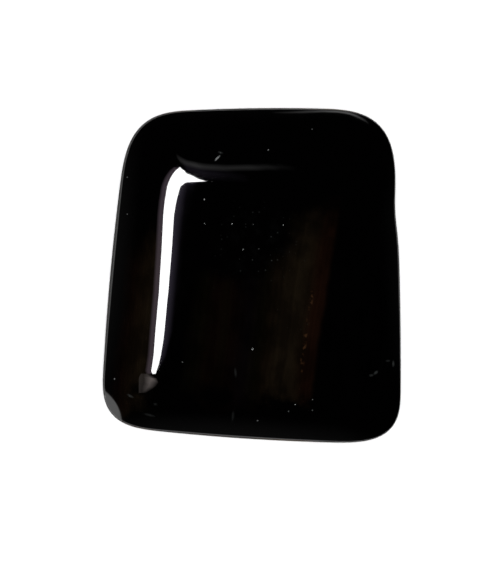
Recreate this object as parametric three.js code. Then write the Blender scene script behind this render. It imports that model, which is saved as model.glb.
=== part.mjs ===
// A banded agate cut as a cabochon: one polished stone with a slightly tapered, round-cornered rectangular
// outline, a broad and nearly flat top, soft shoulders, a plain girdle wall and a flat back. One side is a
// little hollow, and one corner of the girdle is ground flat.
// Millimetres, +Z up. The stone lies on its back, and the origin is under the middle of its box.

import * as THREE from "three";

// Heights, from the flat back up
const BACK_BEVEL = 0.3; // the bevel round the back, as high as it is deep
const GIRDLE_HEIGHT = 2.0; // the girdle line, where the dome meets the wall
const DOME_RISE = 1.5; // from the girdle line to the top of the dome

// The girdle wall leans out as it goes down, so that a bezel can hold the stone
const WALL_LEAN = THREE.MathUtils.degToRad(5);
const EDGE_ROUND = 0.1; // how far the polish rounds the girdle line over

// The four sides of the girdle line. Each is at `reach` from the middle, faces `facing` degrees from +X, and
// bulges as an arc of radius `bow`. `shoulder` is how far in from that side the top begins to fall away, and
// `hollow` is how far the side is ground in at its hollow.
const SIDES = [
  { name: "right", facing: 1.5, reach: 7.43, bow: 270, shoulder: 3.9, hollow: 0.11 },
  { name: "top", facing: 91, reach: 8.42, bow: 107, shoulder: 3.9, hollow: 0 },
  { name: "left", facing: 174.5, reach: 7.09, bow: 176, shoulder: 3.3, hollow: 0 },
  { name: "bottom", facing: 266.1, reach: 8.22, bow: 136, shoulder: 3.0, hollow: 0 },
];
const HOLLOW_PLACE = 3.1; // from the middle of the side, anticlockwise
const HOLLOW_WIDTH = 1.3;
const CORNER_SQUARENESS = 3.4; // 2 makes each corner a quarter of an ellipse, and more makes it squarer
const SHOULDER_SHARPNESS = 2.1; // 2 rounds the shoulders evenly, and more keeps the top flat for longer

// The top is not quite flat: how much lower it would be above the middle of each side
const CROWN_ACROSS = 0.3;
const CROWN_ALONG = 0.37;

// The flat ground on the corner between the left and bottom sides: the way it faces in degrees from +X, and
// the slope at which it falls away from a line at `reach` from the middle and `height` above the back
const FLAT = { facing: 210, reach: 9.25, height: 2.2, slope: 50 };

// Facets of the solid
const FACETS_ROUND = 128;
const DOME_COURSES = 18;

// A point's distances out and anticlockwise from the middle, for something that faces one way.
function turned(x, y, facingDegrees) {
  const facing = THREE.MathUtils.degToRad(facingDegrees);
  const out = x * Math.cos(facing) + y * Math.sin(facing);
  const along = y * Math.cos(facing) - x * Math.sin(facing);
  return { out, along };
}

// How far a point is into the shoulders: 0 on the top, 1 on the girdle line.
function shoulderDepth(x, y) {
  let total = 0;
  for (const side of SIDES) {
    const { out, along } = turned(x, y, side.facing);
    const hollow = side.hollow * Math.exp(-(((along - HOLLOW_PLACE) / HOLLOW_WIDTH) ** 2));
    const inside = side.reach - out - along ** 2 / (2 * side.bow) - hollow;
    total += Math.max(0, 1 - inside / side.shoulder) ** CORNER_SQUARENESS;
  }
  return total ** (1 / CORNER_SQUARENESS);
}

// The height of the dome above the girdle line.
function domeHeight(x, y) {
  const crown = CROWN_ACROSS * (x / SIDES[0].reach) ** 2 + CROWN_ALONG * (y / SIDES[1].reach) ** 2;
  return (DOME_RISE - crown) * (1 - shoulderDepth(x, y) ** SHOULDER_SHARPNESS);
}

// The height of the flat on the corner, which nothing stands above.
function flatHeight(x, y) {
  const { out } = turned(x, y, FLAT.facing);
  return FLAT.height - (out - FLAT.reach) * Math.tan(THREE.MathUtils.degToRad(FLAT.slope));
}

// The distance from the middle to the girdle line in one direction, by halving the interval that holds it.
function girdleRadius(angle) {
  let near = 0;
  let far = 2 * SIDES[1].reach;
  while (far - near > 1e-7) {
    const middle = (near + far) / 2;
    if (shoulderDepth(middle * Math.cos(angle), middle * Math.sin(angle)) < 1) near = middle;
    else far = middle;
  }
  return near;
}

// The courses of the stone from the middle of the back to the top of the dome. `share` is the part of the
// girdle radius a course stands at, `out` is what is added to that, and `z` its height where it is set.
function courses() {
  const footOut = (GIRDLE_HEIGHT - BACK_BEVEL) * Math.tan(WALL_LEAN);
  const list = [
    { share: 0, out: 0, z: 0 },
    { share: 0.5, out: 0, z: 0 },
    { share: 1, out: footOut - BACK_BEVEL, z: 0 },
    { share: 1, out: footOut, z: BACK_BEVEL },
    { share: 1, out: 0, z: GIRDLE_HEIGHT - EDGE_ROUND },
  ];
  for (let course = 0; course < DOME_COURSES; course += 1) {
    // Closer together near the girdle, where the shoulders are steepest
    const share = Math.cos((Math.PI / 2) * (course / DOME_COURSES));
    list.push({ share, out: -EDGE_ROUND * share });
  }
  list.push({ share: 0, out: 0 });
  return list;
}

// Turn a plain profile about Z, move each ring out to the stone's own outline and up to its dome, and grind
// the one corner flat.
function stoneGeometry() {
  const list = courses();
  const profile = list.map((course, index) => new THREE.Vector2(course.share, index));
  const geometry = new THREE.LatheGeometry(profile, FACETS_ROUND);
  geometry.rotateX(Math.PI / 2);
  const position = geometry.getAttribute("position");
  for (let i = 0; i < position.count; i += 1) {
    const course = list[Math.round(position.getZ(i))];
    const angle = Math.atan2(position.getY(i), position.getX(i));
    const radius = course.share * girdleRadius(angle) + course.out;
    const x = radius * Math.cos(angle);
    const y = radius * Math.sin(angle);
    const z = course.z ?? GIRDLE_HEIGHT + domeHeight(x, y);
    position.setXYZ(i, x, y, Math.min(z, flatHeight(x, y)));
  }
  return geometry;
}

// Slide the stone sideways until the middle of its box is on the origin.
function centreOnBox(geometry) {
  geometry.computeBoundingBox();
  const middle = geometry.boundingBox.getCenter(new THREE.Vector3());
  geometry.translate(-middle.x, -middle.y, 0);
}

function agateCabochon() {
  const geometry = stoneGeometry();
  centreOnBox(geometry);
  geometry.computeVertexNormals();
  const agate = new THREE.MeshStandardMaterial({ color: 0x0b0807, roughness: 0.1, metalness: 0 });
  const mesh = new THREE.Mesh(geometry, agate);
  mesh.name = "agate_cabochon";
  return mesh;
}

const stone = new THREE.Group();
stone.add(agateCabochon());

export default stone;
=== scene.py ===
"""A dark banded agate, cut and polished as a low cabochon, lying on its flat back on a pale floor."""

import math
from collections import namedtuple

import bpy
from mathutils import Matrix, Vector


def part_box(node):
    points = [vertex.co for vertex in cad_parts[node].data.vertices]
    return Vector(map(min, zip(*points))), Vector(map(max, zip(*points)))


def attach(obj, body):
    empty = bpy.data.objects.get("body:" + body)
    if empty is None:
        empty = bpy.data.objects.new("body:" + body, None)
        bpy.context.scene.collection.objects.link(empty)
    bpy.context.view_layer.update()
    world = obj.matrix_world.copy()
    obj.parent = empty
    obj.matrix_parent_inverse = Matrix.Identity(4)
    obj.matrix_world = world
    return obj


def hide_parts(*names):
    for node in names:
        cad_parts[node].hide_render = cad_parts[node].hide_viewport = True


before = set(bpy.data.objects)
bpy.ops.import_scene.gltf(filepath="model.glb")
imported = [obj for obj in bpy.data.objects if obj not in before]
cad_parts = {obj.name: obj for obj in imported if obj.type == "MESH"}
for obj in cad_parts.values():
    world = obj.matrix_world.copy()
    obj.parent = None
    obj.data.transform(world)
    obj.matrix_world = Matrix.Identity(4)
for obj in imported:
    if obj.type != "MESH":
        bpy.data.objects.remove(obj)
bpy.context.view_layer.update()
stone_low, stone_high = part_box("agate_cabochon")
MM = 0.001

# The photograph's frame, and where in it the camera stands
IMAGE_WIDTH_PX = 500
IMAGE_HEIGHT_PX = 571
PX_PER_MM = 19.86
STONE_CENTRE_PX = (252.86, 275.2)
CAMERA_DISTANCE = 150 * MM
CAMERA_LEFT = math.radians(1)
CAMERA_NEAR = 1 * MM
AIM_HEIGHT = 3 * MM

# The stone, as in its solid: heights from the flat back up, in millimetres
BACK_BEVEL = 0.3
GIRDLE_HEIGHT = 2.0
DOME_RISE = (stone_high.z - stone_low.z) / MM - GIRDLE_HEIGHT
WALL_LEAN = math.radians(5)
CROWN_ACROSS = 0.3
CROWN_ALONG = 0.37
CORNER_SQUARENESS = 3.4
SHOULDER_SHARPNESS = 2.1

# Each side of the girdle line: the degrees it faces, its reach, bow radius, shoulder width and hollow
Side = namedtuple("Side", "facing reach bow shoulder hollow")
RIGHT = Side(facing=1.5, reach=7.43, bow=270, shoulder=3.9, hollow=0.11)
TOP = Side(facing=91, reach=8.42, bow=107, shoulder=3.9, hollow=0)
LEFT = Side(facing=174.5, reach=7.09, bow=176, shoulder=3.3, hollow=0)
BOTTOM = Side(facing=266.1, reach=8.22, bow=136, shoulder=3.0, hollow=0)
SIDES = (RIGHT, TOP, LEFT, BOTTOM)
HOLLOW_PLACE = 3.1
HOLLOW_WIDTH = 1.3

# The flat ground on the lower left corner
FLAT_FACING = math.radians(210)
FLAT_REACH = 9.25
FLAT_HEIGHT = 2.2
FLAT_SLOPE = math.radians(50)

# What the solid leaves out: softened edges
GIRDLE_ROUND = 0.06
BEVEL_ROUND = 0.05
FLAT_ROUND = 0.04

# The ripple of hand polishing: its waves' height, and each one's radians to the millimetre and at its start
RIPPLE_HEIGHT = 0.0004
SLOW_WAVES = ((1.9, 0.7, 0.4), (0.6, -1.6, 2.1))
QUICK_WAVES = ((3.7, -2.3, 0.0), (1.1, 2.9, 0.8))

# The fine mesh: points round each ring, and rings, those of the back at these shares of its width
SEGMENTS = 480
DOME_RINGS = 112
ROUND_RINGS = 6
WALL_RINGS = 16
BACK_RINGS = (0.2, 0.5, 0.8, 0.95)

# How closely the girdle line is found, and the step over which the dome's slope is taken
GIRDLE_CLOSENESS = 1e-7
SLOPE_STEP = 0.001

# The stone's two finishes, in the order of its material slots
POLISHED = 0
GROUND = 1

# Colours of the agate, all very dark, and of the dust on it
INK = (0.0002, 0.00017, 0.0002)
PLUM = (0.0024, 0.0016, 0.0019)
OLIVE = (0.0026, 0.0021, 0.0010)
MAROON = (0.0034, 0.0015, 0.0010)
UMBER = (0.0050, 0.0031, 0.0016)
TAN = (0.0072, 0.0049, 0.0027)
RUST = (0.0060, 0.0023, 0.0012)
EMBER = (0.0220, 0.0100, 0.0045)
DUST = (0.0460, 0.0500, 0.0490)

# The bands: millimetres across them from the middle of the stone, colour and strength
BANDS = (
    (-6.8, INK, 1.0),
    (-6.2, MAROON, 0.5),
    (-5.6, UMBER, 0.65),
    (-5.1, TAN, 0.65),
    (-4.3, INK, 1.0),
    (-3.2, INK, 1.0),
    (-2.4, OLIVE, 0.4),
    (-1.7, MAROON, 0.4),
    (-1.2, UMBER, 0.3),
    (-0.8, MAROON, 0.4),
    (0.0, PLUM, 0.4),
    (0.7, OLIVE, 0.5),
    (1.2, UMBER, 0.5),
    (1.7, TAN, 0.55),
    (2.5, TAN, 0.6),
    (2.9, UMBER, 0.75),
    (3.3, RUST, 0.7),
    (3.65, RUST, 0.6),
    (3.9, INK, 1.0),
)
BAND_REACH = 8.0

# From here on, a _NOISE is its swings to the millimetre and its layers of finer swings,
# and a _RAMP is the two values it runs between and, if they are not 0 and 1, what it gives at each
NOISE_MIDDLE = 0.5

# How the bands lie: their slant across the top, their dip into the stone, and how they wander and waver
BAND_SLANT = 0.13
BAND_DIP = 0.25
BAND_STRETCH = (1, 0.45, 0.6)
WANDER = 0.7
WANDER_NOISE = (0.3, 2)
WAVER = 0.22
WAVER_NOISE = (1.6, 4)

# Fine lines along the bands and cloudy patches over them, which darken and lighten them
LINE_NOISE = (5.0, 3)
LINE_RAMP = (0.35, 0.65, 0.85, 1.1)
CLOUD_STRETCH = (1, 0.55, 1)
CLOUD_NOISE = (1.1, 4)
CLOUD_RAMP = (0.35, 0.65, 0.6, 1.2)

# A thin broken streak of bright grains beside the sharp edge of the bands
STREAK_PLACE = 3.1
STREAK_WIDTH = 0.14
STREAK_TOP = -0.9
STREAK_BOTTOM = -4.9
STREAK_FADE = 0.3
GRAIN_NOISE = (3.5, 2)
GRAIN_RAMP = (0.52, 0.66)

# Where the bands show through the polish: how far up and down the stone, by the place across it
LEFT_TOP_RAMP = (-3.0, -5.0, 0.5, 2.0)
RIGHT_TOP_RAMP = (0.0, 3.2, 0.5, 3.3)
FOOT_RAMP = (-6.0, -6.6, -6.0, -7.4)
UNEVEN_NOISE = (0.8, 3)
UNEVEN_RAMP = (0.3, 0.7, -0.6, 0.6)
TOP_FADE_RAMP = (-0.6, 2.0)
FOOT_FADE_RAMP = (-0.6, 0.8)

# The polish, and how far out the top of the dome turns into its shoulders
AGATE_IOR = 1.54
TOP_ROUGHNESS = 0.022
SHOULDER_ROUGHNESS = 0.03
DUST_ROUGHNESS = 0.7
SHOULDER_ACROSS_RAMP = (2.0, 3.8)
SHOULDER_ALONG_RAMP = (4.6, 6.0)

# The ground wall and back, which are matt and lighter than the polish: partly their ground finish, partly a
# painted sheen in their colour that stands in for the wall's reflection
GROUND_GAIN_AND_SHEEN = 10.0
GROUND_GREY_AND_SHEEN = (0.0120, 0.0110, 0.0105)
GROUND_SPECULAR = 0.06

# The marks of grinding, along the wall and, below these heights, across the back
WALL_STRETCH = (1.0, 1.0, 26)
BACK_STRETCH = (22, 0.9, 1)
BACK_RAMP = (0.12, 0.02)
MARK_NOISE = (1.0, 4)
MARK_DEPTH = 0.006
MARK_SHADE_RAMP = (0.3, 0.7, 0.5, 1.5)
MARK_ROUGHNESS_RAMP = (0.3, 0.7, 0.75, 0.95)

# Single specks of dust on the dome: across, along and radius in millimetres
SPECKS = (
    (-0.03, -3.71, 0.075),
    (0.78, 6.3, 0.05),
    (3.0, 7.38, 0.045),
    (-6.34, 4.96, 0.045),
    (-6.34, 3.09, 0.04),
    (-2.44, 3.8, 0.05),
    (-2.44, 2.6, 0.04),
    (-1.06, 2.56, 0.05),
    (1.51, 2.51, 0.045),
    (-0.49, 1.3, 0.05),
    (-3.54, -4.37, 0.045),
    (-6.98, -5.24, 0.06),
    (2.13, -6.51, 0.045),
    (3.0, -6.8, 0.045),
    (3.0, -6.26, 0.045),
    (1.8, -6.86, 0.045),
    (0.24, -7.34, 0.05),
)
SPECK_CORE = 0.3

# Fibres of dust: across, along, half length and half width in millimetres, turn in degrees, and strength
FIBRES = (
    (-1.78, 5.89, 0.27, 0.08, 45, 0.8),
    (-1.63, 6.17, 0.18, 0.08, -15, 0.2),
    (6.22, -4.92, 0.18, 0.10, 40, 0.3),
    (5.99, -5.05, 0.16, 0.09, 10, 0.2),
    (7.13, -4.48, 0.22, 0.08, 90, 0.3),
    (6.85, -4.33, 0.16, 0.08, 0, 0.15),
    (-6.18, -6.09, 0.24, 0.09, -28, 0.25),
    (-5.22, -7.06, 0.38, 0.09, -14, 0.13),
    (-4.91, -6.50, 0.12, 0.10, 0, 0.12),
    (-0.88, -4.89, 0.32, 0.09, 95, 0.12),
    (-1.00, -7.10, 0.36, 0.10, 85, 0.10),
)
FIBRE_CORE = 0.2

# A patch of finer dust, on the upper middle of the dome, with a faint haze between its grains
DUST_PATCH = (0.2, 1.6, 0)
DUST_PATCH_RADIUS = 2.8
FINE_DUST = 0.25
FINE_DUST_SCALE = 3.2
FINE_DUST_SIZE_RAMP = (0.5, 1.0, 0.0, 0.2)
FINE_DUST_EDGE = 0.14
DUST_HAZE = 0.02
DUST_HAZE_NOISE = (1.3, 3)
DUST_HAZE_RAMP = (0.45, 0.75)

# Dust lies on the dome alone, in full from this far above the girdle line
DUST_FOOT = 0.2

# Sheets of light hang flat above the stone, each above the one before, and only its polish mirrors them
SHEETS = ("window", "window_left", "window_right", "arc", "rim", "patch", "haze")
SHEET_HEIGHT = 120
SHEET_SPACING = 1
MIRROR_ROUNDS = 8
WHITE = (1.0, 1.0, 1.0)

# The window, as the polish shows it in the photograph's pixels: down, left edge, right edge and haze width
WINDOW_PX = (
    (167.3, 179.0, 180.8, 1),
    (168.5, 177.6, 181.6, 1),
    (170.5, 175.1, 184.5, 1),
    (174.5, 172.1, 190.2, 1),
    (178.5, 169.7, 198.1, 1),
    (181.2, 168.6, 206.5, 1),
    (182.2, 168.1, 187.0, 12),
    (184.5, 167.3, 183.2, 15),
    (190.5, 166.0, 179.6, 16),
    (200.5, 164.3, 176.9, 16),
    (215.5, 162.8, 174.3, 15),
    (250.5, 161.1, 172.1, 11),
    (290.5, 158.6, 168.8, 12),
    (330.5, 155.0, 164.9, 8),
    (355.5, 153.1, 161.2, 6),
    (365.5, 151.7, 158.8, 3),
    (370.5, 150.7, 156.9, 1),
    (374.0, 152.1, 156.0, 1),
)
WINDOW_GLOW = 28

# How far the window's strong glow spreads beyond its edges
WINDOW_SPREAD_PX = 0.5

# The dim sides of the window: a mauve edge on its left and a blue haze on its right
MAUVE = (1.0, 0.78, 0.95)
MAUVE_PX = 3.5
MAUVE_FADE_PX = 3.0
MAUVE_GLOW = 0.8
BLUE = (0.8, 0.7, 1.0)
BLUE_FULL_PX = 8.0
BLUE_GLOW = 0.65

# A dim line of light along the upper shoulder: across, down and glow
ARC_PX = (
    (176.0, 157.0, 0.00),
    (180.5, 160.0, 0.30),
    (186.5, 163.0, 0.40),
    (195.5, 165.2, 0.50),
    (205.5, 167.0, 0.36),
    (225.5, 168.0, 0.28),
    (250.5, 167.5, 0.28),
    (265.5, 167.0, 0.15),
    (280.5, 167.0, 0.06),
    (297.0, 167.0, 0.00),
)
ARC_SPREAD_PX = 3.9

# A brighter and thinner line along the upper right rim: across, down and glow
RIM_PX = (
    (272.0, 112.8, 0.0),
    (290.0, 112.4, 0.3),
    (300.0, 112.0, 0.6),
    (315.0, 111.5, 1.1),
    (330.0, 111.3, 1.9),
    (340.0, 111.8, 2.3),
    (348.0, 113.1, 2.5),
    (354.0, 115.0, 2.0),
    (360.0, 117.8, 1.3),
    (365.0, 120.5, 0.6),
    (369.0, 123.4, 0.0),
)
RIM_SPREAD_PX = 1.3

# The blue haze between the window and the line above it: across, down and glow
HAZE_PX = (
    (182.0, 163.0, 0.00),
    (190.0, 169.0, 0.15),
    (200.0, 172.0, 0.16),
    (212.0, 174.0, 0.11),
    (228.0, 175.0, 0.06),
    (250.0, 176.0, 0.00),
)
HAZE_SPREAD_PX = 7.0

# A dim warm patch below the window: down, left edge, dimmest place, brightest place, right edge and glow
PATCH_PX = (
    (374.0, 141.0, 143.5, 146.5, 150.0, 0.5),
    (376.5, 139.5, 143.5, 149.0, 153.5, 0.9),
    (378.5, 138.8, 144.0, 152.0, 157.0, 2.2),
    (382.5, 138.8, 144.0, 149.5, 158.5, 1.7),
    (386.0, 138.8, 142.5, 149.0, 156.0, 1.3),
    (388.5, 138.8, 142.0, 146.5, 153.0, 0.9),
    (392.8, 138.8, 140.5, 142.0, 146.0, 0.2),
)
WARM = (1.0, 0.87, 0.83)
PATCH_EDGE_GLOW = 0.42
PATCH_DIM_GLOW = 0.3

# The floor: half its width in metres, its colour and its roughness
FLOOR_HALF = 1.5
FLOOR_COLOUR = (0.95, 0.95, 0.95)
FLOOR_ROUGHNESS = 0.9

# The light on the floor: a soft light straight overhead, in metres, and a share from all round
OVERHEAD_HEIGHT = 0.4
OVERHEAD_SIZE = 0.1
OVERHEAD_SHARE = 0.95
AMBIENT_SHARE = 0.4

# What the camera sees beyond the floor
BEYOND_GLOW = 1.2

# What the polish mirrors all round: a pale horizon, full at its foot and gone at its top, then a dim sky
HORIZON_FOOT = math.radians(4)
HORIZON_TOP = math.radians(10)
HORIZON_GLOW = 0.9
SKY_TOP = math.radians(32)
SKY_GLOW = 0.05


def view_axes():
    """The camera's right, up and backward directions."""
    back = Vector((-math.tan(CAMERA_LEFT), 0, 1)).normalized()
    right = Vector((0, 1, 0)).cross(back).normalized()
    return right, back.cross(right), back


def camera_place():
    """Where the camera stands, so that the middle of the stone falls on its own pixel."""
    aim = (stone_low + stone_high) / 2
    aim.x += (IMAGE_WIDTH_PX / 2 - STONE_CENTRE_PX[0]) / PX_PER_MM * MM
    aim.y += (STONE_CENTRE_PX[1] - IMAGE_HEIGHT_PX / 2) / PX_PER_MM * MM
    aim.z = AIM_HEIGHT
    return aim + view_axes()[2] * CAMERA_DISTANCE


def side_depth(x, y, side):
    """How far a point is into one side's shoulder: 0 at its inner edge, 1 on the girdle line."""
    facing = math.radians(side.facing)
    out = x * math.cos(facing) + y * math.sin(facing)
    along = y * math.cos(facing) - x * math.sin(facing)
    hollow = side.hollow * math.exp(-(((along - HOLLOW_PLACE) / HOLLOW_WIDTH) ** 2))
    inside = side.reach - out - along**2 / (2 * side.bow) - hollow
    return max(0.0, 1 - inside / side.shoulder)


def shoulder_depth(x, y):
    """How far a point is into the shoulders: 0 on the flat of the top, 1 on the girdle line."""
    total = sum(side_depth(x, y, side) ** CORNER_SQUARENESS for side in SIDES)
    return total ** (1 / CORNER_SQUARENESS)


def wave(x, y, across, along, start):
    """One even wave over the dome."""
    return math.sin(across * x + along * y + start)


def ripple(x, y):
    """The slight unevenness that hand polishing leaves."""
    slow = sum(wave(x, y, *radians) for radians in SLOW_WAVES)
    quick = math.prod(wave(x, y, *radians) for radians in QUICK_WAVES)
    return RIPPLE_HEIGHT * (slow + quick)


def dome_height(x, y):
    """The height of the dome above the back."""
    crown = CROWN_ACROSS * (x / RIGHT.reach) ** 2 + CROWN_ALONG * (y / TOP.reach) ** 2
    rise = (DOME_RISE - crown) * (1 - shoulder_depth(x, y) ** SHOULDER_SHARPNESS)
    return GIRDLE_HEIGHT + rise + ripple(x, y)


def dome_normal(x, y):
    """The way the dome faces."""
    slope_x = (dome_height(x + SLOPE_STEP, y) - dome_height(x - SLOPE_STEP, y)) / (2 * SLOPE_STEP)
    slope_y = (dome_height(x, y + SLOPE_STEP) - dome_height(x, y - SLOPE_STEP)) / (2 * SLOPE_STEP)
    return Vector((-slope_x, -slope_y, 1)).normalized()


def flat_height(x, y):
    """The height of the flat on the corner, which nothing stands above."""
    out = x * math.cos(FLAT_FACING) + y * math.sin(FLAT_FACING)
    return FLAT_HEIGHT - (out - FLAT_REACH) * math.tan(FLAT_SLOPE)


def soft_least(first, second, roundness):
    """The lesser of two values, with the change from one to the other rounded over."""
    overlap = max(roundness - abs(first - second), 0) / roundness
    return min(first, second) - overlap**2 * roundness / 4


def girdle_radius(angle):
    """The distance from the middle to the girdle line, by halving the interval that holds it."""
    near = 0.0
    far = 2 * TOP.reach
    while far - near > GIRDLE_CLOSENESS:
        middle = (near + far) / 2
        if shoulder_depth(middle * math.cos(angle), middle * math.sin(angle)) < 1:
            near = middle
        else:
            far = middle
    return near


def fillet(corner, before, after, radius):
    """Points of a rounded corner of the profile, from the side it comes from to the side it goes to."""
    start = corner + (before - corner).normalized() * radius
    end = corner + (after - corner).normalized() * radius
    points = []
    for step in range(ROUND_RINGS + 1):
        t = step / ROUND_RINGS
        points.append(start * (1 - t) ** 2 + corner * 2 * t * (1 - t) + end * t**2)
    return points


def wall_profile():
    """The profile from the rim of the back up to the girdle line: distance outside that line, and height."""
    foot_out = (GIRDLE_HEIGHT - BACK_BEVEL) * math.tan(WALL_LEAN)
    rim = Vector((foot_out - BACK_BEVEL, 0))
    inner = rim - Vector((1, 0))
    foot = Vector((foot_out, BACK_BEVEL))
    girdle = Vector((0, GIRDLE_HEIGHT))
    dome = Vector((-GIRDLE_ROUND, dome_height(girdle_radius(0) - GIRDLE_ROUND, 0)))
    points = fillet(rim, inner, foot, BEVEL_ROUND)
    points += fillet(foot, rim, girdle, BEVEL_ROUND)
    points += [foot.lerp(girdle, (step + 1) / (WALL_RINGS + 1)) for step in range(WALL_RINGS)]
    points += fillet(girdle, foot, dome, GIRDLE_ROUND)[:-1]
    return points


def stone_rings(girdle):
    """Each ring from the back to the top: its radii, and its height where the dome doesn't give it."""
    wall = wall_profile()
    rings = []
    for share in BACK_RINGS:
        rings.append(([share * (radius + wall[0].x) for radius in girdle], 0.0))
    for point in wall:
        rings.append(([radius + point.x for radius in girdle], point.y))
    for course in range(DOME_RINGS):
        share = math.cos(math.pi / 2 * course / DOME_RINGS)
        rings.append(([share * (radius - GIRDLE_ROUND) for radius in girdle], None))
    return rings


def ring_points():
    """The points of every ring, from the back round to the top, and the number of rings."""
    angles = [2 * math.pi * step / SEGMENTS for step in range(SEGMENTS)]
    rings = stone_rings([girdle_radius(angle) for angle in angles])
    points = []
    for radii, level in rings:
        for angle, radius in zip(angles, radii):
            x = radius * math.cos(angle)
            y = radius * math.sin(angle)
            height = dome_height(x, y) if level is None else level
            points.append(Vector((x, y, soft_least(height, flat_height(x, y), FLAT_ROUND))))
    return points, len(rings)


def ring_faces(ring_count, back_pole, top_pole):
    """Quads between neighbouring rings, and a fan of triangles at each pole."""
    faces = []
    last = (ring_count - 1) * SEGMENTS
    for step in range(SEGMENTS):
        following = (step + 1) % SEGMENTS
        faces.append((back_pole, following, step))
        for ring in range(ring_count - 1):
            low = ring * SEGMENTS
            high = low + SEGMENTS
            faces.append((low + step, low + following, high + following, high + step))
        faces.append((last + step, last + following, top_pole))
    return faces


def centre_on_solid(points):
    """Slide the points sideways until the middle of their box is the middle of the solid's."""
    for axis in (0, 1):
        values = [point[axis] for point in points]
        shift = (stone_low[axis] + stone_high[axis]) / 2 / MM - (min(values) + max(values)) / 2
        for point in points:
            point[axis] += shift


def add_mesh(name, points, faces):
    """A new mesh object in the scene."""
    mesh = bpy.data.meshes.new(name)
    mesh.from_pydata(points, [], faces)
    made = bpy.data.objects.new(name, mesh)
    bpy.context.collection.objects.link(made)
    return made


class Graph:
    """Adds shader nodes to one node tree and joins them."""

    def __init__(self, tree):
        self.tree = tree
        tree.nodes.clear()

    def node(self, kind, inputs, **settings):
        """A new node, with each input set to a value or joined to another node's output."""
        made = self.tree.nodes.new("ShaderNode" + kind)
        for name, value in settings.items():
            setattr(made, name, value)
        for socket, value in inputs.items():
            if isinstance(value, bpy.types.NodeSocket):
                self.tree.links.new(value, made.inputs[socket])
            else:
                made.inputs[socket].default_value = value
        return made

    def maths(self, operation, first, second=0.0):
        return self.node("Math", {0: first, 1: second}, operation=operation).outputs[0]

    def ramp(self, value, start, end, low=0.0, high=1.0, kind="SMOOTHSTEP"):
        """A step from low, where the value is at start, to high, where it is at end."""
        inputs = {"Value": value, "From Min": start, "From Max": end, "To Min": low, "To Max": high}
        return self.node("MapRange", inputs, interpolation_type=kind).outputs[0]

    def vectors(self, operation, first, second):
        return self.node("VectorMath", {0: first, 1: second}, operation=operation).outputs["Vector"]

    def shaded(self, colour, shade):
        return self.node("VectorMath", {0: colour, "Scale": shade}, operation="SCALE").outputs["Vector"]

    def dot(self, vector, normal):
        return self.node("VectorMath", {0: vector, 1: normal}, operation="DOT_PRODUCT").outputs["Value"]

    def distance(self, vector, point):
        return self.node("VectorMath", {0: vector, 1: point}, operation="DISTANCE").outputs["Value"]

    def noise(self, vector, scale, detail):
        return self.node("TexNoise", {"Vector": vector, "Scale": scale, "Detail": detail}).outputs["Fac"]

    def swing(self, vector, noise, width):
        """Noise that swings evenly about zero, this wide."""
        level = self.maths("SUBTRACT", self.noise(vector, *noise), NOISE_MIDDLE)
        return self.maths("MULTIPLY", level, width)

    def mix(self, factor, first, second):
        """A number between two others."""
        return self.node("Mix", {0: factor, 2: first, 3: second}).outputs[0]

    def blend(self, factor, first, second):
        """A colour between two others."""
        return self.node("Mix", {0: factor, 6: first, 7: second}, data_type="RGBA").outputs[2]


def opaque(colour, strength=1.0):
    """A colour at some strength, with the alpha that sockets ask for."""
    return (*(strength * part for part in colour), 1.0)


def new_material(name):
    """A new material and its empty graph."""
    material = bpy.data.materials.new(name)
    material.use_nodes = True
    return material, Graph(material.node_tree)


def stone_place(graph):
    """The place on the stone in millimetres, and its three axes."""
    coordinates = graph.node("TexCoord", {}).outputs["Object"]
    place = graph.vectors("MULTIPLY", coordinates, (1 / MM, 1 / MM, 1 / MM))
    return place, graph.node("SeparateXYZ", {0: place}).outputs


def across_bands(graph, place):
    """The distance across the bands, which run lengthwise, dip into the stone and wander."""
    across = graph.dot(place, (1, -BAND_SLANT, BAND_DIP))
    across = graph.maths("SUBTRACT", across, BAND_DIP * (GIRDLE_HEIGHT + DOME_RISE))
    lengthwise = graph.vectors("MULTIPLY", place, BAND_STRETCH)
    across = graph.maths("ADD", across, graph.swing(lengthwise, WANDER_NOISE, WANDER))
    return graph.maths("ADD", across, graph.swing(lengthwise, WAVER_NOISE, WAVER))


def plain_bands(graph, across):
    """The colours of the bands, each running into the next."""
    position = graph.ramp(across, -BAND_REACH, BAND_REACH, kind="LINEAR")
    made = graph.node("ValToRGB", {"Fac": position})
    stops = made.color_ramp.elements
    stops[0].color = opaque(INK)
    stops[1].color = opaque(INK)
    for distance, colour, strength in BANDS:
        stop = stops.new((distance + BAND_REACH) / (2 * BAND_REACH))
        stop.color = opaque(colour, strength)
    return made.outputs["Color"]


def band_shade(graph, place, across):
    """Fine lines along the bands, and cloudy patches over them."""
    line = graph.node("CombineXYZ", {"X": across}).outputs[0]
    lines = graph.ramp(graph.noise(line, *LINE_NOISE), *LINE_RAMP)
    cloud = graph.vectors("MULTIPLY", place, CLOUD_STRETCH)
    clouds = graph.ramp(graph.noise(cloud, *CLOUD_NOISE), *CLOUD_RAMP)
    return graph.maths("MULTIPLY", lines, clouds)


def streak_mask(graph, place, axes, across):
    """The thin streak along the bands, broken into grains."""
    off_line = graph.maths("ABSOLUTE", graph.maths("SUBTRACT", across, STREAK_PLACE))
    grains = graph.ramp(graph.noise(place, *GRAIN_NOISE), *GRAIN_RAMP)
    streak = graph.maths("MULTIPLY", grains, graph.ramp(off_line, STREAK_WIDTH, 0.0))
    below_top = graph.ramp(axes["Y"], STREAK_TOP + STREAK_FADE, STREAK_TOP)
    above_bottom = graph.ramp(axes["Y"], STREAK_BOTTOM - STREAK_FADE, STREAK_BOTTOM)
    return graph.maths("MULTIPLY", streak, graph.maths("MULTIPLY", below_top, above_bottom))


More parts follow.
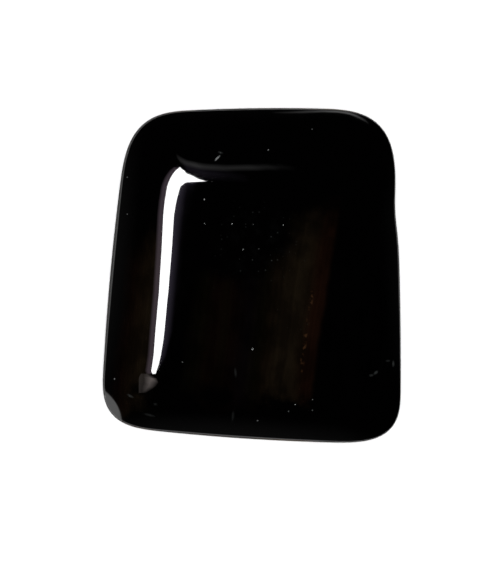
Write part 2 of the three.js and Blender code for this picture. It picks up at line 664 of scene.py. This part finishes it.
def band_colour(graph, place, axes):
    """The colour of the bands, with fine lines along them, cloudy patches and a streak of bright grains."""
    across = across_bands(graph, place)
    bands = graph.shaded(plain_bands(graph, across), band_shade(graph, place, across))
    return graph.blend(streak_mask(graph, place, axes, across), bands, opaque(EMBER))


def bands_shown(graph, place, axes):
    """Where the bands show through the polish: the lower part of the dome."""
    uneven = graph.ramp(graph.noise(place, *UNEVEN_NOISE), *UNEVEN_RAMP)
    left_top = graph.ramp(axes["X"], *LEFT_TOP_RAMP)
    right_top = graph.ramp(axes["X"], *RIGHT_TOP_RAMP)
    top = graph.maths("ADD", graph.maths("MAXIMUM", left_top, right_top), uneven)
    foot = graph.maths("ADD", graph.ramp(axes["X"], *FOOT_RAMP), uneven)
    below_top = graph.ramp(graph.maths("SUBTRACT", top, axes["Y"]), *TOP_FADE_RAMP)
    above_foot = graph.ramp(graph.maths("SUBTRACT", axes["Y"], foot), *FOOT_FADE_RAMP)
    return graph.maths("MULTIPLY", below_top, above_foot)


def speck_mask(graph, flat):
    """Single specks of dust, full in the middle and soft at the edge."""
    mask = 0.0
    for x, y, radius in SPECKS:
        distance = graph.distance(flat, (x, y, 0))
        mask = graph.maths("MAXIMUM", mask, graph.ramp(distance, radius, SPECK_CORE * radius))
    return mask


def fibre_mask(graph, flat):
    """Fibres of dust, each a soft disc that is stretched, turned and put in its place."""
    mask = 0.0
    for x, y, half_length, half_width, turn, strength in FIBRES:
        inputs = {
            "Vector": flat,
            "Location": (x, y, 0),
            "Rotation": (0, 0, math.radians(turn)),
            "Scale": (half_length, half_width, 1),
        }
        fibre = graph.node("Mapping", inputs, vector_type="TEXTURE").outputs[0]
        distance = graph.distance(fibre, (0, 0, 0))
        mask = graph.maths("MAXIMUM", mask, graph.ramp(distance, 1.0, FIBRE_CORE, 0.0, strength))
    return mask


def fine_dust_mask(graph, flat):
    """A patch of scattered grains of many sizes, with a haze between them."""
    cells = graph.node("TexVoronoi", {"Vector": flat, "Scale": FINE_DUST_SCALE}, voronoi_dimensions="2D")
    chance = graph.node("SeparateColor", {0: cells.outputs["Color"]}).outputs[0]
    size = graph.ramp(chance, *FINE_DUST_SIZE_RAMP)
    inside = graph.maths("SUBTRACT", size, cells.outputs["Distance"])
    grains = graph.ramp(inside, 0.0, FINE_DUST_EDGE, 0.0, FINE_DUST)
    haze = graph.ramp(graph.noise(flat, *DUST_HAZE_NOISE), *DUST_HAZE_RAMP, 0.0, DUST_HAZE)
    patch = graph.ramp(graph.distance(flat, DUST_PATCH), DUST_PATCH_RADIUS, 0.0)
    return graph.maths("MULTIPLY", graph.maths("MAXIMUM", grains, haze), patch)


def dust_mask(graph, axes):
    """All the dust, on the dome alone."""
    flat = graph.node("CombineXYZ", {"X": axes["X"], "Y": axes["Y"]}).outputs[0]
    mask = graph.maths("MAXIMUM", speck_mask(graph, flat), fibre_mask(graph, flat))
    mask = graph.maths("MAXIMUM", mask, fine_dust_mask(graph, flat))
    on_dome = graph.ramp(axes["Z"], GIRDLE_HEIGHT, GIRDLE_HEIGHT + DUST_FOOT)
    return graph.maths("MULTIPLY", mask, on_dome)


def polish(graph, axes, dust):
    """Roughness: a mirror on the top, a little softer on the shoulders, and dull under dust."""
    across = graph.ramp(graph.maths("ABSOLUTE", axes["X"]), *SHOULDER_ACROSS_RAMP)
    along = graph.ramp(graph.maths("ABSOLUTE", axes["Y"]), *SHOULDER_ALONG_RAMP)
    shoulder = graph.maths("MAXIMUM", across, along)
    dome = graph.ramp(shoulder, 0.0, 1.0, TOP_ROUGHNESS, SHOULDER_ROUGHNESS)
    return graph.maths("MAXIMUM", dome, graph.maths("MULTIPLY", dust, DUST_ROUGHNESS))


def polished_material():
    """The dome and the flat on its corner: a mirror, with dim bands under it and dust on it."""
    material, graph = new_material("polished_agate")
    place, axes = stone_place(graph)
    bands = band_colour(graph, place, axes)
    colour = graph.blend(bands_shown(graph, place, axes), opaque(INK), bands)
    dust = dust_mask(graph, axes)
    colour = graph.blend(dust, colour, opaque(DUST))
    roughness = polish(graph, axes, dust)
    shader = graph.node("BsdfPrincipled", {"Base Color": colour, "Roughness": roughness, "IOR": AGATE_IOR})
    graph.node("OutputMaterial", {"Surface": shader.outputs[0]})
    return material


def grinding(graph, place, axes):
    """Grinding marks: along the wall, and straight across the back."""
    along_wall = graph.noise(graph.vectors("MULTIPLY", place, WALL_STRETCH), *MARK_NOISE)
    across_back = graph.noise(graph.vectors("MULTIPLY", place, BACK_STRETCH), *MARK_NOISE)
    return graph.mix(graph.ramp(axes["Z"], *BACK_RAMP), along_wall, across_back)


def ground_material():
    """The wall and the back: matt, finely scored by the grinding, and lighter than the polish, partly by a
    painted sheen.
    """
    material, graph = new_material("ground_agate")
    place, axes = stone_place(graph)
    marks = grinding(graph, place, axes)
    # Painted sheen: the colour is raised over the ground finish's own lighter tone to stand in for the
    # wall's grey reflection, while its specular stays low
    paler_and_sheen = graph.shaded(band_colour(graph, place, axes), GROUND_GAIN_AND_SHEEN)
    paler_and_sheen = graph.vectors("ADD", paler_and_sheen, GROUND_GREY_AND_SHEEN)
    bump = graph.node("Bump", {"Height": marks, "Distance": MARK_DEPTH * MM, "Strength": 1.0})
    inputs = {
        "Base Color": graph.shaded(paler_and_sheen, graph.ramp(marks, *MARK_SHADE_RAMP)),
        "Roughness": graph.ramp(marks, *MARK_ROUGHNESS_RAMP),
        "IOR": AGATE_IOR,
        "Specular IOR Level": GROUND_SPECULAR,
        "Normal": bump.outputs[0],
    }
    shader = graph.node("BsdfPrincipled", inputs)
    graph.node("OutputMaterial", {"Surface": shader.outputs[0]})
    return material


def build_stone():
    """The stone as one closed smooth mesh."""
    points, ring_count = ring_points()
    points.append(Vector((0, 0, 0)))
    points.append(Vector((0, 0, dome_height(0, 0))))
    centre_on_solid(points)
    faces = ring_faces(ring_count, len(points) - 2, len(points) - 1)
    stone = add_mesh("polished_agate", [point * MM for point in points], faces)
    mesh = stone.data
    mesh.shade_smooth()
    mesh.materials.append(polished_material())
    mesh.materials.append(ground_material())
    for face in mesh.polygons:
        x, y, z = face.center / MM
        on_flat = flat_height(x, y) - z < FLAT_ROUND
        face.material_index = POLISHED if on_flat or z > GIRDLE_HEIGHT else GROUND
    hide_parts("agate_cabochon")
    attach(stone, "root")


def build_floor():
    """A wide pale floor, which the stone lies on."""
    half = FLOOR_HALF
    corners = [(-half, -half, 0), (half, -half, 0), (half, half, 0), (-half, half, 0)]
    floor = add_mesh("floor", corners, [(0, 1, 2, 3)])
    material, graph = new_material("pale_floor")
    inputs = {"Base Color": opaque(FLOOR_COLOUR), "Roughness": FLOOR_ROUGHNESS, "Specular IOR Level": 0.0}
    shader = graph.node("BsdfPrincipled", inputs)
    graph.node("OutputMaterial", {"Surface": shader.outputs[0]})
    floor.data.materials.append(material)


def mirrored(across_px, down_px, height):
    """The place at one height that the dome mirrors at a pixel of the photograph, in millimetres."""
    right, up, back = view_axes()
    eye = camera_place() / MM
    across = (across_px - IMAGE_WIDTH_PX / 2) / PX_PER_MM
    along = (IMAGE_HEIGHT_PX / 2 - down_px) / PX_PER_MM
    ray = (right * across + up * along - back * (CAMERA_DISTANCE / MM)).normalized()
    point = Vector((0, 0, 0))
    # Each round takes the ray down to the height of the dome under the last round's point
    for _ in range(MIRROR_ROUNDS):
        point = eye + ray * ((dome_height(point.x, point.y) - eye.z) / ray.z)
    bounce = ray.reflect(dome_normal(point.x, point.y))
    return point + bounce * ((height - point.z) / bounce.z)


def glow_material(name, colour):
    """Light as bright as each corner of its sheet says, added to the light that comes through the sheet."""
    material, graph = new_material(name)
    glow = graph.node("Attribute", {}, attribute_name="glow").outputs["Fac"]
    emission = graph.node("Emission", {"Color": opaque(colour), "Strength": glow}).outputs[0]
    clear = graph.node("BsdfTransparent", {}).outputs[0]
    both = graph.node("AddShader", {0: emission, 1: clear}).outputs[0]
    graph.node("OutputMaterial", {"Surface": both})
    return material


def grid_faces(row_count, width):
    """Quads between the points of neighbouring rows."""
    faces = []
    for row in range(row_count - 1):
        for column in range(width - 1):
            corner = row * width + column
            faces.append((corner, corner + 1, corner + width + 1, corner + width))
    return faces


def build_sheet(name, rows, colour=WHITE):
    """A sheet of light through rows of points, each a pixel where the polish shows it and its glow there."""
    height = SHEET_HEIGHT + SHEETS.index(name) * SHEET_SPACING
    points = []
    glows = []
    for row in rows:
        for across, down, glow in row:
            points.append(mirrored(across, down, height) * MM)
            glows.append(glow)
    sheet = add_mesh(name, points, grid_faces(len(rows), len(rows[0])))
    sheet.data.attributes.new("glow", "FLOAT", "POINT").data.foreach_set("value", glows)
    sheet.data.materials.append(glow_material(name, colour))
    sheet.visible_camera = False
    sheet.visible_diffuse = False
    sheet.visible_shadow = False


def soft_line(points, spread):
    """Rows of a sheet that glows along a line and fades away on both sides of it."""
    return [((x, y - spread, 0), (x, y, glow), (x, y + spread, 0)) for x, y, glow in points]


def build_window():
    """The window, and the dim light of its two sides."""
    window = []
    mauve = []
    blue = []
    for down, left, right, haze in WINDOW_PX:
        left += WINDOW_SPREAD_PX
        right -= WINDOW_SPREAD_PX
        window.append(((left, down, WINDOW_GLOW), (right, down, WINDOW_GLOW)))
        edge = left - MAUVE_PX
        mauve.append(((edge - MAUVE_FADE_PX, down, 0), (edge, down, MAUVE_GLOW), (left, down, MAUVE_GLOW)))
        glow = BLUE_GLOW * min(1, haze / BLUE_FULL_PX)
        blue.append(((right, down, glow), (right + haze, down, 0)))
    build_sheet("window", window)
    build_sheet("window_left", mauve, MAUVE)
    build_sheet("window_right", blue, BLUE)


def build_patch():
    """The dim patch of light below the window."""
    rows = []
    for down, left, dim, bright, right, glow in PATCH_PX:
        edge = (left, down, PATCH_EDGE_GLOW)
        rows.append((edge, (dim, down, PATCH_DIM_GLOW), (bright, down, glow), (right, down, 0)))
    build_sheet("patch", rows, WARM)


def build_overhead():
    """A soft light straight overhead, for the floor and the stone's colour. The polish doesn't mirror it."""
    light = bpy.data.lights.new("overhead", "AREA")
    light.size = OVERHEAD_SIZE
    solid_angle = (OVERHEAD_SIZE / OVERHEAD_HEIGHT) ** 2
    radiance = OVERHEAD_SHARE * math.pi / solid_angle
    light.energy = radiance * math.pi * OVERHEAD_SIZE**2
    overhead = bpy.data.objects.new("overhead", light)
    bpy.context.collection.objects.link(overhead)
    overhead.location.z = OVERHEAD_HEIGHT
    overhead.visible_camera = False
    overhead.visible_glossy = False


def build_lights():
    """The sheets of light that the polish mirrors, and the light on the floor."""
    build_window()
    build_sheet("arc", soft_line(ARC_PX, ARC_SPREAD_PX))
    build_sheet("rim", soft_line(RIM_PX, RIM_SPREAD_PX))
    build_sheet("haze", soft_line(HAZE_PX, HAZE_SPREAD_PX), BLUE)
    build_patch()
    build_overhead()


def build_world():
    """White beyond the floor, soft light all round, and for the polish a pale horizon under a dark sky."""
    world = bpy.data.worlds.new("studio")
    bpy.context.scene.world = world
    world.use_nodes = True
    graph = Graph(world.node_tree)
    direction = graph.node("TexCoord", {}).outputs["Generated"]
    height = graph.node("SeparateXYZ", {0: direction}).outputs["Z"]
    horizon = graph.ramp(height, math.sin(HORIZON_TOP), math.sin(HORIZON_FOOT), 0.0, HORIZON_GLOW)
    sky = graph.ramp(height, math.sin(SKY_TOP), math.sin(HORIZON_TOP), 0.0, SKY_GLOW)
    mirrored_sky = graph.maths("MAXIMUM", horizon, sky)
    path = graph.node("LightPath", {}).outputs
    around = graph.mix(path["Is Glossy Ray"], AMBIENT_SHARE, mirrored_sky)
    strength = graph.mix(path["Is Camera Ray"], around, BEYOND_GLOW)
    background = graph.node("Background", {"Color": opaque(WHITE), "Strength": strength})
    graph.node("OutputWorld", {"Surface": background.outputs[0]})


def build_camera():
    """The camera looks down on the stone from a little to the left, as in the photograph."""
    data = bpy.data.cameras.new("camera")
    camera = bpy.data.objects.new("camera", data)
    bpy.context.collection.objects.link(camera)
    bpy.context.scene.camera = camera
    camera.location = camera_place()
    camera.rotation_euler = Matrix(view_axes()).transposed().to_euler()
    data.sensor_fit = "HORIZONTAL"
    data.lens = data.sensor_width * CAMERA_DISTANCE / (IMAGE_WIDTH_PX / PX_PER_MM * MM)
    data.clip_start = CAMERA_NEAR


build_stone()
build_floor()
build_lights()
build_world()
build_camera()
bpy.context.scene.view_settings.view_transform = "Standard"
